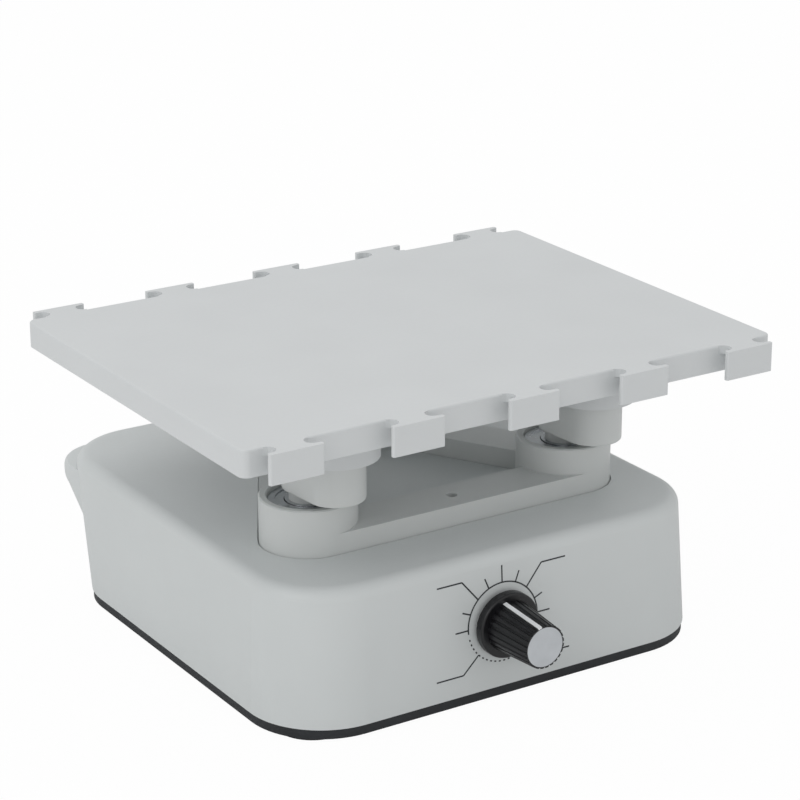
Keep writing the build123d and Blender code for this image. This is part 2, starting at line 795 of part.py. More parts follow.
# Motor: a flat gear motor that hangs from a bracket, with its shaft up
motor_axis = (motor_x, motor_y)
motor_bottom = shell_bottom + motor_base_gap
motor_top = motor_bottom + motor_height
with BuildPart() as motor_body:
    with BuildSketch(Plane.XY.offset(motor_bottom)):
        with Locations(motor_axis):
            Circle(motor_diameter / 2)
    extrude(amount=motor_height)
    with BuildSketch(Plane.XY.offset(motor_top)):
        with Locations(motor_axis):
            Circle(motor_boss_diameter / 2)
    extrude(amount=motor_boss_height)
    with BuildSketch(Plane.XY.offset(motor_top + motor_boss_height - motor_bore_depth)):
        with Locations(motor_axis):
            Circle(motor_shaft_diameter / 2 + running_gap)
    extrude(amount=motor_bore_depth, mode=Mode.SUBTRACT)
    with BuildSketch(Plane.XY.offset(motor_top - motor_screw_depth)):
        with Locations(motor_axis):
            with PolarLocations(motor_screw_circle / 2, motor_screw_count, motor_screw_start):
                Circle(motor_screw / 2)
    extrude(amount=motor_screw_depth, mode=Mode.SUBTRACT)
motor_body.part.label = "motor_body"
export_step(motor_body.part, "parts/motor_body.step")

with BuildPart() as motor_bracket:
    with BuildSketch(Plane.XY.offset(motor_top)):
        with Locations(motor_axis):
            Rectangle(bracket_width, bracket_length)
            Circle(motor_boss_diameter / 2 + seat_gap, mode=Mode.SUBTRACT)
            with PolarLocations(motor_screw_circle / 2, motor_screw_count, motor_screw_start):
                Circle(motor_screw / 2 + seat_gap, mode=Mode.SUBTRACT)
    extrude(amount=bracket_thickness)
    leg_x = bracket_width / 2 - bracket_thickness / 2
    foot_x = bracket_width / 2 + bracket_foot / 2
    with BuildSketch(Plane.XY.offset(shell_bottom)):
        with Locations(motor_axis):
            with Locations((-leg_x, 0), (leg_x, 0)):
                Rectangle(bracket_thickness, bracket_length)
    extrude(amount=motor_top - shell_bottom)
    with BuildSketch(Plane.XY.offset(shell_bottom)):
        with Locations(motor_axis):
            with Locations((-foot_x, 0), (foot_x, 0)):
                Rectangle(bracket_foot, bracket_length)
                with GridLocations(0, bracket_screw_pitch, 1, 2):
                    Circle(bracket_screw / 2, mode=Mode.SUBTRACT)
    extrude(amount=bracket_thickness)
motor_bracket.part.label = "motor_bracket"
export_step(motor_bracket.part, "parts/motor_bracket.step")

with BuildPart() as motor_screws:
    with BuildSketch(Plane.XY.offset(motor_top - motor_screw_depth)):
        with Locations(motor_axis):
            with PolarLocations(motor_screw_circle / 2, motor_screw_count, motor_screw_start):
                Circle(motor_screw / 2)
    extrude(amount=motor_screw_depth + bracket_thickness)
    with BuildSketch(Plane.XY.offset(motor_top + bracket_thickness)):
        with Locations(motor_axis):
            with PolarLocations(motor_screw_circle / 2, motor_screw_count, motor_screw_start):
                Circle(motor_screw_head / 2)
    extrude(amount=motor_screw_head_height)
motor_screws.part.label = "motor_screws"
export_step(motor_screws.part, "parts/motor_screws.step")

with BuildPart() as bracket_screws:
    with BuildSketch(Plane.XY.offset(shell_bottom)):
        with Locations(motor_axis):
            with GridLocations(2 * foot_x, bracket_screw_pitch, 2, 2):
                Circle(bracket_screw / 2)
    extrude(amount=bracket_thickness)
    with BuildSketch(Plane.XY.offset(shell_bottom + bracket_thickness)):
        with Locations(motor_axis):
            with GridLocations(2 * foot_x, bracket_screw_pitch, 2, 2):
                Circle(bracket_screw_head / 2)
    extrude(amount=bracket_screw_head_height)
bracket_screws.part.label = "bracket_screws"
export_step(bracket_screws.part, "parts/bracket_screws.step")

with BuildPart() as motor_shaft:
    with BuildSketch(Plane.XY.offset(motor_top + motor_boss_height - motor_bore_depth + seat_gap)):
        with Locations(motor_axis):
            Circle(motor_shaft_diameter / 2)
    shaft_top = pulley_bottom + pulley_height + motor_shaft_tail
    extrude(amount=shaft_top - motor_top - motor_boss_height + motor_bore_depth - seat_gap)
motor_shaft.part.label = "motor_shaft"
export_step(motor_shaft.part, "parts/motor_shaft.step")

with BuildPart() as motor_pulley:
    with BuildSketch(Plane.XY.offset(pulley_bottom)):
        with Locations(motor_axis):
            Circle(motor_pulley_diameter / 2 + pulley_flange)
            Circle(motor_shaft_diameter / 2, mode=Mode.SUBTRACT)
    extrude(amount=pulley_height)
    with BuildSketch(Plane.XY.offset(pulley_bottom + pulley_flange_thickness)):
        with Locations(motor_axis):
            Circle(motor_pulley_diameter / 2 + 2 * pulley_flange)
            Circle(motor_pulley_diameter / 2, mode=Mode.SUBTRACT)
    extrude(amount=belt_width + 2 * belt_side_gap, mode=Mode.SUBTRACT)
motor_pulley.part.label = "motor_pulley"
export_step(motor_pulley.part, "parts/motor_pulley.step")

# Flat belt round both pulleys
with BuildPart() as drive_belt:
    for reach, mode in ((belt_gap + belt_thickness, Mode.ADD), (belt_gap, Mode.SUBTRACT)):
        with BuildSketch(Plane.XY.offset(belt_height - belt_width / 2)):
            with Locations(motor_axis):
                Circle(motor_pulley_diameter / 2 + reach)
            with Locations(crank_axes["rear"]):
                Circle(driven_pulley_diameter / 2 + reach)
            make_hull()
        extrude(amount=belt_width, mode=mode)
drive_belt.part.label = "drive_belt"
export_step(drive_belt.part, "parts/drive_belt.step")


# Speed knob: a skirt and a fluted, tapered grip, with a cap and a pointer let into it
def knob_plane(distance, turn=0.0):
    """Plane across the knob axis, this far in front of the back of the knob."""
    plane = Plane(origin=(knob_x, knob_back_y - distance, knob_height), x_dir=(1, 0, 0), z_dir=(0, -1, 0))
    return plane.rotated((0, 0, turn))


nose_radius = knob_nose_diameter / 2
grip_radius = knob_body_diameter / 2
pointer_plane = Plane(
    origin=(knob_x, knob_back_y, knob_height),
    x_dir=(-sin(radians(knob_rest_angle)), 0, cos(radians(knob_rest_angle))),
    z_dir=(cos(radians(knob_rest_angle)), 0, sin(radians(knob_rest_angle))),
)
pointer_outline = [
    (grip_radius - pointer_depth, knob_skirt_thickness),
    (grip_radius + pointer_depth / 2, knob_skirt_thickness),
    (nose_radius + pointer_depth / 2, knob_length),
    (nose_radius - pointer_depth, knob_length),
]

with BuildPart() as knob_body:
    with BuildSketch(knob_plane(knob_skirt_thickness)):
        Circle(knob_body_diameter / 2)
        with PolarLocations(knob_body_diameter / 2, knob_flutes):
            Circle(knob_flute_radius, mode=Mode.SUBTRACT)
    with BuildSketch(knob_plane(knob_length)):
        Circle(knob_nose_diameter / 2)
        with PolarLocations(knob_nose_diameter / 2, knob_flutes):
            Circle(knob_flute_radius * knob_nose_diameter / knob_body_diameter, mode=Mode.SUBTRACT)
    loft()
    with BuildSketch(knob_plane(0)):
        Circle(knob_skirt_diameter / 2)
    extrude(amount=knob_skirt_thickness)
    skirt_rim = knob_body.edges().filter_by(GeomType.CIRCLE).sort_by(SortBy.RADIUS)[-2:]
    fillet(skirt_rim.sort_by(Axis.Y)[0], knob_nose_fillet)
    with BuildSketch(knob_plane(0)):
        Circle(knob_recess_diameter / 2)
    extrude(amount=knob_recess_depth, mode=Mode.SUBTRACT)
    with BuildSketch(knob_plane(knob_recess_depth)):
        Circle(pot_shaft_diameter / 2)
    extrude(amount=pot_shaft_grip, mode=Mode.SUBTRACT)
    with BuildSketch(knob_plane(knob_length - knob_cap_depth)):
        Circle(knob_cap_diameter / 2)
    extrude(amount=knob_cap_depth, mode=Mode.SUBTRACT)
    # Slot for the pointer, up the grip from the skirt to the nose
    with BuildSketch(pointer_plane):
        with BuildLine():
            Polyline(*pointer_outline, close=True)
        make_face()
    extrude(amount=pointer_width / 2, both=True, mode=Mode.SUBTRACT)
knob_body.part.label = "knob_body"
export_step(knob_body.part, "parts/knob_body.step")

with BuildPart() as knob_pointer:
    with BuildSketch(pointer_plane):
        with BuildLine():
            Polyline(*pointer_outline, close=True)
        make_face()
    extrude(amount=pointer_width / 2, both=True)
knob_pointer.part.label = "knob_pointer"
export_step(knob_pointer.part, "parts/knob_pointer.step")

with BuildPart() as knob_cap:
    with BuildSketch(knob_plane(knob_length - knob_cap_depth)):
        Circle(knob_cap_diameter / 2)
    extrude(amount=knob_cap_depth)
knob_cap.part.label = "knob_cap"
export_step(knob_cap.part, "parts/knob_cap.step")


# Potentiometer behind the front wall: body and bush, shaft, washer and nut
shaft_end = knob_back_y - knob_recess_depth - pot_shaft_grip
with BuildPart() as potentiometer_body:
    with BuildSketch(Plane.XZ.offset(-pot_seat_y - pot_body_depth)):
        with Locations((knob_x, knob_height)):
            Circle(pot_body_diameter / 2)
    extrude(amount=pot_body_depth)
    with BuildSketch(Plane.XZ.offset(-pot_seat_y)):
        with Locations((knob_x, knob_height)):
            Circle(pot_bush_diameter / 2)
    extrude(amount=pot_bush_length)
    with BuildSketch(Plane.XZ.offset(-pot_seat_y - pot_bore_depth)):
        with Locations((knob_x, knob_height)):
            Circle(pot_shaft_diameter / 2 + running_gap)
    extrude(amount=pot_bore_depth + pot_bush_length, mode=Mode.SUBTRACT)
potentiometer_body.part.label = "potentiometer_body"
export_step(potentiometer_body.part, "parts/potentiometer_body.step")

with BuildPart() as potentiometer_shaft:
    with BuildSketch(Plane.XZ.offset(-pot_seat_y - pot_bore_depth + seat_gap)):
        with Locations((knob_x, knob_height)):
            Circle(pot_shaft_diameter / 2)
    extrude(amount=pot_seat_y + pot_bore_depth - seat_gap - shaft_end)
potentiometer_shaft.part.label = "potentiometer_shaft"
export_step(potentiometer_shaft.part, "parts/potentiometer_shaft.step")

with BuildPart() as potentiometer_washer:
    with BuildSketch(Plane.XZ.offset(-spot_face_y)):
        with Locations((knob_x, knob_height)):
            Circle(pot_washer_diameter / 2)
            Circle(pot_bush_diameter / 2, mode=Mode.SUBTRACT)
    extrude(amount=pot_washer_thickness)
potentiometer_washer.part.label = "potentiometer_washer"
export_step(potentiometer_washer.part, "parts/potentiometer_washer.step")

with BuildPart() as potentiometer_nut:
    with BuildSketch(Plane.XZ.offset(-spot_face_y + pot_washer_thickness)):
        with Locations((knob_x, knob_height)):
            RegularPolygon(pot_nut_width / 2, 6, major_radius=False)
            Circle(pot_bush_diameter / 2, mode=Mode.SUBTRACT)
    extrude(amount=pot_nut_thickness)
potentiometer_nut.part.label = "potentiometer_nut"
export_step(potentiometer_nut.part, "parts/potentiometer_nut.step")


# Control board on standoffs, with the parts soldered to it
board_bottom = shell_bottom + standoff_height
board_top = board_bottom + board_thickness
board_hole_x = board_width - 2 * board_hole_inset
board_hole_y = board_depth - 2 * board_hole_inset
with BuildPart() as control_board:
    with BuildSketch(Plane.XY.offset(board_bottom)):
        with Locations((board_x, board_y)):
            Rectangle(board_width, board_depth)
            with GridLocations(board_hole_x, board_hole_y, 2, 2):
                Circle(board_screw / 2, mode=Mode.SUBTRACT)
    extrude(amount=board_thickness)
control_board.part.label = "control_board"
export_step(control_board.part, "parts/control_board.step")

with BuildPart() as board_standoffs:
    with BuildSketch(Plane.XY.offset(shell_bottom)):
        with Locations((board_x, board_y)):
            with GridLocations(board_hole_x, board_hole_y, 2, 2):
                Circle(standoff_diameter / 2)
                Circle(board_screw / 2, mode=Mode.SUBTRACT)
    extrude(amount=standoff_height)
board_standoffs.part.label = "board_standoffs"
export_step(board_standoffs.part, "parts/board_standoffs.step")

with BuildPart() as board_screws:
    with BuildSketch(Plane.XY.offset(shell_bottom + seat_gap)):
        with Locations((board_x, board_y)):
            with GridLocations(board_hole_x, board_hole_y, 2, 2):
                Circle(board_screw / 2)
    extrude(amount=board_top - shell_bottom - seat_gap)
    with BuildSketch(Plane.XY.offset(board_top)):
        with Locations((board_x, board_y)):
            with GridLocations(board_hole_x, board_hole_y, 2, 2):
                Circle(board_screw_head / 2)
    extrude(amount=board_screw_head_height)
board_screws.part.label = "board_screws"
export_step(board_screws.part, "parts/board_screws.step")

with BuildPart() as board_components:
    with BuildSketch(Plane.XY.offset(board_top)):
        with Locations((board_x, board_y)):
            with GridLocations(0, capacitor_pitch, 1, 2):
                Circle(capacitor_diameter / 2)
    extrude(amount=capacitor_height)
    with BuildSketch(Plane.XY.offset(board_top)):
        with Locations((board_x - block_offset, board_y)):
            Rectangle(inductor_width, inductor_depth)
    extrude(amount=inductor_height)
    with BuildSketch(Plane.XY.offset(board_top)):
        with Locations((board_x + block_offset, board_y)):
            Rectangle(chip_width, chip_depth)
    extrude(amount=chip_height)
board_components.part.label = "board_components"
export_step(board_components.part, "parts/board_components.step")


# Power inlet: a round jack through the rear wall, with a nut inside
inlet_plane = rear_plane(inlet_x)
panel_thickness = wall * cos(atan2(wall_lean(False), 1))
with BuildPart() as power_inlet:
    with BuildSketch(inlet_plane):
        Circle(inlet_flange / 2)
    extrude(amount=inlet_flange_thickness)
    with BuildSketch(inlet_plane):
        Circle(inlet_barrel / 2)
    extrude(amount=-inlet_depth)
    with BuildSketch(inlet_plane.offset(inlet_flange_thickness)):
        Circle(inlet_bore / 2)
        Circle(inlet_pin / 2, mode=Mode.SUBTRACT)
    extrude(amount=-inlet_bore_depth, mode=Mode.SUBTRACT)
power_inlet.part.label = "power_inlet"
export_step(power_inlet.part, "parts/power_inlet.step")

with BuildPart() as inlet_nut:
    with BuildSketch(inlet_plane.offset(-panel_thickness)):
        RegularPolygon(inlet_flange / 2, 6, major_radius=False)
        Circle(inlet_barrel / 2, mode=Mode.SUBTRACT)
    extrude(amount=-inlet_nut_thickness)
inlet_nut.part.label = "inlet_nut"
export_step(inlet_nut.part, "parts/inlet_nut.step")


# Power switch: a body with a bezel, and a rocker with a round back that turns in its pocket
switch_plane = rear_plane(switch_x)
rocker_pocket_radius = switch_width / 2 - bezel_border
rocker_radius = rocker_pocket_radius - rocker_gap
rocker_pivot = switch_plane.origin + switch_plane.z_dir * bezel_thickness
rocker_plane = Plane(origin=rocker_pivot, x_dir=switch_plane.x_dir, z_dir=-switch_plane.y_dir)
with BuildPart() as switch_body:
    with BuildSketch(switch_plane):
        Rectangle(switch_width + 2 * bezel_border, switch_tall + 2 * bezel_border)
    extrude(amount=bezel_thickness)
    with BuildSketch(switch_plane):
        Rectangle(switch_width, switch_tall)
    extrude(amount=-switch_depth)
    with BuildSketch(rocker_plane):
        Circle(rocker_pocket_radius)
    extrude(amount=switch_tall / 2 - bezel_border, both=True, mode=Mode.SUBTRACT)
switch_body.part.label = "switch_body"
export_step(switch_body.part, "parts/switch_body.step")

with BuildPart() as switch_rocker:
    with BuildSketch(rocker_plane.rotated((0, 0, rocker_tilt))):
        Circle(rocker_radius)
        with BuildLine():
            rise = 2 * rocker_radius * sin(radians(rocker_tilt))
            Polyline(
                (0, 0),
                (2 * rocker_radius, rise),
                (2 * rocker_radius, 2 * rocker_radius),
                (-2 * rocker_radius, 2 * rocker_radius),
                (-2 * rocker_radius, rise),
                close=True,
            )
        make_face(mode=Mode.SUBTRACT)
    extrude(amount=switch_tall / 2 - bezel_border - rocker_gap, both=True)
switch_rocker.part.label = "switch_rocker"
export_step(switch_rocker.part, "parts/switch_rocker.step")
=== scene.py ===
"""Orbital shaker: finishes, printed dial, rear hood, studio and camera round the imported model."""

import math

import bpy
import numpy as np
from mathutils import Matrix, Vector


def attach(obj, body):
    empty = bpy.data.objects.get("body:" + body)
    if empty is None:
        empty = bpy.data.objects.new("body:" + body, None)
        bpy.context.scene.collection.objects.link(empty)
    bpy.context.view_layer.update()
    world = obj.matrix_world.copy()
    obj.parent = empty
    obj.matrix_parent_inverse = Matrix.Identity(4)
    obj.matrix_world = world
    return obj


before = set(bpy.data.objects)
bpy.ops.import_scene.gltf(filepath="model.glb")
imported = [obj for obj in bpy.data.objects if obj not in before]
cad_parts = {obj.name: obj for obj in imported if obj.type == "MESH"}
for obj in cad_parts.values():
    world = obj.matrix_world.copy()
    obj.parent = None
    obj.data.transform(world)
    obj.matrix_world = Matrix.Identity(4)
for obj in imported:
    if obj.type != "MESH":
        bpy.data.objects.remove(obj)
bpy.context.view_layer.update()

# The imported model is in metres, and the sizes below are in millimetres unless they say otherwise
MM = 0.001

# Places that the CAD gives. A pair holds the values at the housing's foot and at its top,
# and a lean is how far a wall goes outwards over the housing's height
KNOB_X = -4.2
KNOB_HEIGHT = 29.4
SHELL_BOTTOM = 4.75
SHELL_HEIGHT = 51.5
WALL = 3.0
HALF_DEPTH = 89.0
FRONT_LEAN = -2.9 / SHELL_HEIGHT
REAR_LEAN = 14.7 / SHELL_HEIGHT
HOUSING_HALF_WIDTH = (92.8, 90.2)
HOUSING_CORNER = (30.0, 29.0)
HOOD_REACH = 111.0
HOOD_TOP = 49.25
HOOD_HEIGHT = 8.5
HOOD_SLANT = 9.5
HOOD_NOSE_RADIUS = 3.6

# Sizes of the patterns in the finishes. Real turning lines, and the real grain of plastic and
# rubber, are finer than these, which are as coarse as they need to be to show
PAINT_DRIFT = 38
PAINT_SPECK = 1.6
PAINT_PEEL = 0.7
PAINT_PEEL_DEPTH = 0.012
PAINT_EDGE = 0.5
RUBBED_PATCH = 9
TURNING_PITCH = 0.5
TURNING_DEPTH = 0.004
METAL_CLOUD = 6
RUBBER_BLOOM = 5
RUBBER_GRAIN = 0.4
RUBBER_DEPTH = 0.02
BOARD_WEAVE = 0.8
BOARD_TRACK = 2.2
BOARD_DEPTH = 0.01
INK_COVER = 0.5

# How many times longer a pattern is along x, y and z
TURNING_STRETCH = (6, 6, 1)
TRACK_STRETCH = (4, 1, 1)

THIN_PAINT = "#E6E8E9"


# Colours and nodes
def linear(code):
    """sRGB hex to the linear colour that a socket takes."""
    parts = [int(code[i:i + 2], 16) / 255 for i in (1, 3, 5)]
    return (*(c / 12.92 if c <= 0.04045 else ((c + 0.055) / 1.055) ** 2.4 for c in parts), 1.0)


def per(size):
    """Scale of a noise whose blobs are about this many millimetres across."""
    return 1 / (size * MM)


def add(tree, kind, settings=None, **inputs):
    """Adds one node, sets its properties, and fills or links its inputs by name, or by _number."""
    node = tree.nodes.new(kind)
    for key, value in (settings or {}).items():
        setattr(node, key, value)
    for key, value in inputs.items():
        socket = node.inputs[int(key[1:])] if key[0] == "_" else node.inputs[key.replace("_", " ")]
        if isinstance(value, bpy.types.NodeSocket):
            tree.links.new(value, socket)
        else:
            socket.default_value = value
    return node


def finish_of(name, surface):
    """A material whose Principled shader gets constants as values and patterns as links."""
    material = bpy.data.materials.new(name)
    material.use_nodes = True
    tree = material.node_tree
    tree.nodes.clear()
    shader = add(tree, "ShaderNodeBsdfPrincipled")
    for key, value in surface(tree).items():
        if isinstance(value, bpy.types.NodeSocket):
            tree.links.new(value, shader.inputs[key])
        else:
            shader.inputs[key].default_value = value
    add(tree, "ShaderNodeOutputMaterial", Surface=shader.outputs[0])
    return material


# A noise that its input W shifts, and a mix of the colours in its inputs 6 and 7 by its input 0
NOISE = {"noise_dimensions": "4D"}
COLOUR = {"data_type": "RGBA"}
# A noise stays mostly between these values, so they are stretched to the full range
STRETCH = {"From_Min": 0.3, "From_Max": 0.7}


# Finishes. Body and shade are two close tones, gloss is a range of roughness, and the seed shifts
# the noises, so that no two finishes of one kind have the same pattern
def satin_paint(body, shade, seed):
    """Satin powder paint on a casting: fine orange peel, faint drifts of tone, paler thin edges."""
    def surface(tree):
        where = add(tree, "ShaderNodeTexCoord").outputs["Object"]
        drift = add(tree, "ShaderNodeTexNoise", NOISE, Vector=where, W=seed,
                    Scale=per(PAINT_DRIFT), Detail=2.0)
        speck = add(tree, "ShaderNodeTexNoise", NOISE, Vector=where, W=seed,
                    Scale=per(PAINT_SPECK), Detail=2.0)
        peel = add(tree, "ShaderNodeTexNoise", NOISE, Vector=where, W=seed,
                   Scale=per(PAINT_PEEL), Detail=3.0)
        drifted = add(tree, "ShaderNodeMapRange", Value=drift.outputs["Fac"], **STRETCH)
        tone = add(tree, "ShaderNodeMix", COLOUR, _0=drifted.outputs[0],
                   _6=linear(body), _7=linear(shade))
        # Thin paint on edges: where a normal rounded over a short way leaves the surface's own
        rounded = add(tree, "ShaderNodeBevel", {"samples": 4}, Radius=PAINT_EDGE * MM)
        own = add(tree, "ShaderNodeNewGeometry")
        near = add(tree, "ShaderNodeVectorMath", {"operation": "DOT_PRODUCT"},
                   _0=rounded.outputs[0], _1=own.outputs["Normal"])
        edge = add(tree, "ShaderNodeMapRange", Value=near.outputs["Value"],
                   From_Min=0.75, From_Max=0.995, To_Min=0.35, To_Max=0.0)
        worn = add(tree, "ShaderNodeMix", COLOUR, _0=edge.outputs[0],
                   _6=tone.outputs[2], _7=linear(THIN_PAINT))
        gloss = add(tree, "ShaderNodeMapRange", Value=speck.outputs["Fac"], **STRETCH,
                    To_Min=0.40, To_Max=0.50)
        relief = add(tree, "ShaderNodeBump", Height=peel.outputs["Fac"],
                     Distance=PAINT_PEEL_DEPTH * MM, Strength=0.6)
        return {"Base Color": worn.outputs[2], "Roughness": gloss.outputs[0], "IOR": 1.5,
                "Normal": relief.outputs[0]}
    return surface


def moulded(body, shade, gloss, seed, grain=0.45, depth=0.02):
    """Spark-textured moulded plastic: a fine even grain, and patches that handling has rubbed."""
    def surface(tree):
        where = add(tree, "ShaderNodeTexCoord").outputs["Object"]
        rub = add(tree, "ShaderNodeTexNoise", NOISE, Vector=where, W=seed,
                  Scale=per(RUBBED_PATCH), Detail=3.0)
        spark = add(tree, "ShaderNodeTexNoise", NOISE, Vector=where, W=seed,
                    Scale=per(grain), Detail=2.0)
        rubbed = add(tree, "ShaderNodeMapRange", Value=rub.outputs["Fac"], **STRETCH)
        tone = add(tree, "ShaderNodeMix", COLOUR, _0=rubbed.outputs[0],
                   _6=linear(body), _7=linear(shade))
        shine = add(tree, "ShaderNodeMapRange", Value=rubbed.outputs[0],
                    To_Min=gloss[0], To_Max=gloss[1])
        relief = add(tree, "ShaderNodeBump", Height=spark.outputs["Fac"],
                     Distance=depth * MM, Strength=0.7)
        return {"Base Color": tone.outputs[2], "Roughness": shine.outputs[0], "IOR": 1.5,
                "Normal": relief.outputs[0]}
    return surface


def turned_metal(body, shade, gloss, seed):
    """Ground or turned metal: fine level lines, with a tone and a gloss that drift a little."""
    def surface(tree):
        where = add(tree, "ShaderNodeTexCoord").outputs["Object"]
        flat = add(tree, "ShaderNodeMapping", {"vector_type": "TEXTURE"}, Vector=where,
                   Scale=TURNING_STRETCH)
        lines = add(tree, "ShaderNodeTexNoise", NOISE, Vector=flat.outputs[0], W=seed,
                    Scale=per(TURNING_PITCH), Detail=4.0)
        cloud = add(tree, "ShaderNodeTexNoise", NOISE, Vector=where, W=seed,
                    Scale=per(METAL_CLOUD), Detail=3.0)
        clouded = add(tree, "ShaderNodeMapRange", Value=cloud.outputs["Fac"], **STRETCH)
        tone = add(tree, "ShaderNodeMix", COLOUR, _0=clouded.outputs[0],
                   _6=linear(body), _7=linear(shade))
        shine = add(tree, "ShaderNodeMapRange", Value=lines.outputs["Fac"], **STRETCH,
                    To_Min=gloss[0], To_Max=gloss[1])
        relief = add(tree, "ShaderNodeBump", Height=lines.outputs["Fac"],
                     Distance=TURNING_DEPTH * MM, Strength=0.4)
        return {"Base Color": tone.outputs[2], "Metallic": 1.0, "Roughness": shine.outputs[0],
                "Normal": relief.outputs[0]}
    return surface


def black_rubber(seed):
    """Black rubber: matt, with a powdery bloom."""
    def surface(tree):
        where = add(tree, "ShaderNodeTexCoord").outputs["Object"]
        bloom = add(tree, "ShaderNodeTexNoise", NOISE, Vector=where, W=seed,
                    Scale=per(RUBBER_BLOOM), Detail=4.0)
        grain = add(tree, "ShaderNodeTexNoise", NOISE, Vector=where, W=seed,
                    Scale=per(RUBBER_GRAIN), Detail=2.0)
        tone = add(tree, "ShaderNodeMix", COLOUR, _0=bloom.outputs["Fac"],
                   _6=linear("#141415"), _7=linear("#242627"))
        shine = add(tree, "ShaderNodeMapRange", Value=bloom.outputs["Fac"],
                    To_Min=0.6, To_Max=0.9)
        relief = add(tree, "ShaderNodeBump", Height=grain.outputs["Fac"],
                     Distance=RUBBER_DEPTH * MM, Strength=0.6)
        return {"Base Color": tone.outputs[2], "Roughness": shine.outputs[0], "IOR": 1.52,
                "Normal": relief.outputs[0]}
    return surface


def board_resist(tree):
    """Green solder resist over glass laminate, with faint tracks under it."""
    where = add(tree, "ShaderNodeTexCoord").outputs["Object"]
    weave = add(tree, "ShaderNodeTexNoise", Vector=where, Scale=per(BOARD_WEAVE), Detail=1.0)
    long = add(tree, "ShaderNodeMapping", {"vector_type": "TEXTURE"}, Vector=where,
               Scale=TRACK_STRETCH)
    tracks = add(tree, "ShaderNodeTexNoise", Vector=long.outputs[0],
                 Scale=per(BOARD_TRACK), Detail=0.0)
    sharp = add(tree, "ShaderNodeMapRange", Value=tracks.outputs["Fac"],
                From_Min=0.48, From_Max=0.52)
    tone = add(tree, "ShaderNodeMix", COLOUR, _0=sharp.outputs[0],
               _6=linear("#12492C"), _7=linear("#1C6B3F"))
    shine = add(tree, "ShaderNodeMapRange", Value=weave.outputs["Fac"], To_Min=0.25, To_Max=0.42)
    relief = add(tree, "ShaderNodeBump", Height=weave.outputs["Fac"],
                 Distance=BOARD_DEPTH * MM, Strength=0.4)
    return {"Base Color": tone.outputs[2], "Roughness": shine.outputs[0], "IOR": 1.55,
            "Normal": relief.outputs[0]}


def printed_ink(tree):
    """Pad-printed black ink: nearly matt, a little uneven in cover."""
    where = add(tree, "ShaderNodeTexCoord").outputs["Object"]
    cover = add(tree, "ShaderNodeTexNoise", Vector=where, Scale=per(INK_COVER), Detail=3.0)
    tone = add(tree, "ShaderNodeMix", COLOUR, _0=cover.outputs["Fac"],
               _6=linear("#1D1F22"), _7=linear("#33363A"))
    shine = add(tree, "ShaderNodeMapRange", Value=cover.outputs["Fac"], To_Min=0.45, To_Max=0.65)
    return {"Base Color": tone.outputs[2], "Roughness": shine.outputs[0], "IOR": 1.5}


# Each material's finish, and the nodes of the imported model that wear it
finishes = {
    "housing_paint": (satin_paint("#D2D6D6", "#CFD3D3", 0.0), ["housing_shell"]),
    "frame_paint": (satin_paint("#D2D5D4", "#CFD2D1", 0.3),
                    ["crank_frame", "crank_arm_rear", "crank_arm_left", "crank_arm_right"]),
    "platform_paint": (satin_paint("#D6D9DA", "#D3D6D7", 0.6), ["platform"]),
    "black_base_plastic": (moulded("#1C1F22", "#26292D", (0.50, 0.62), 0.1), ["base_plate"]),
    "foot_rubber": (black_rubber(0.0), ["rubber_feet"]),
    "belt_rubber": (black_rubber(0.4), ["drive_belt"]),
    "bearing_steel": (turned_metal("#C9CBCD", "#B4B7BA", (0.16, 0.30), 0.0),
                      ["lower_outer_rings", "support_outer_ring", "upper_outer_rings",
                       "inner_rings_rear", "inner_rings_left", "inner_rings_right"]),
    "ground_pin_steel": (turned_metal("#9FA2A6", "#8A8E93", (0.20, 0.32), 0.2),
                         ["crank_pins_rear", "crank_pins_left", "crank_pins_right", "motor_shaft",
                          "potentiometer_shaft"]),
    "zinc_screw": (turned_metal("#8F9296", "#74777C", (0.28, 0.42), 0.5),
                   ["base_screws", "frame_screws", "motor_screws", "bracket_screws",
                    "board_screws", "pulley_set_screw"]),
    "blued_spring_steel": (turned_metal("#3B3F45", "#2C2F34", (0.30, 0.45), 0.7),
                           ["crank_circlips_rear", "crank_circlips_left",
                            "crank_circlips_right"]),
    "pulley_aluminium": (turned_metal("#C4C7CA", "#AEB2B6", (0.24, 0.36), 0.9),
                         ["driven_pulley", "motor_pulley"]),
    "motor_can_steel": (turned_metal("#A5A8AB", "#8F9397", (0.30, 0.40), 1.1), ["motor_body"]),
    "bracket_sheet_steel": (turned_metal("#B0B4B8", "#989DA3", (0.34, 0.46), 1.3),
                            ["motor_bracket"]),
    "nickel_plate": (turned_metal("#B9B5AC", "#A39F96", (0.22, 0.34), 1.5),
                     ["potentiometer_nut", "potentiometer_washer", "inlet_nut"]),
    "standoff_brass": (turned_metal("#C9A25A", "#B18C48", (0.24, 0.36), 1.7),
                       ["board_standoffs"]),
    "board_laminate": (board_resist, ["control_board"]),
    "component_plastic": (moulded("#17181B", "#24262A", (0.35, 0.50), 0.8),
                          ["board_components"]),
    "black_fitting_nylon": (moulded("#141517", "#1E2023", (0.35, 0.50), 1.2),
                            ["power_inlet", "switch_body", "potentiometer_body"]),
    "rocker_plastic": (moulded("#131416", "#1C1E20", (0.22, 0.34), 1.4, grain=0.8, depth=0.01),
                       ["switch_rocker"]),
    "knob_plastic": (moulded("#0D0D10", "#18191C", (0.28, 0.42), 1.6, grain=0.35), ["knob_body"]),
    "knob_cap_plastic": (moulded("#C6CACE", "#B9BDC1", (0.34, 0.45), 1.8, grain=0.5, depth=0.01),
                         ["knob_cap"]),
    "pointer_paint": (moulded("#EDEFF0", "#E2E4E6", (0.30, 0.40), 2.0, grain=0.5, depth=0.01),
                      ["knob_pointer"]),
}
materials = {}
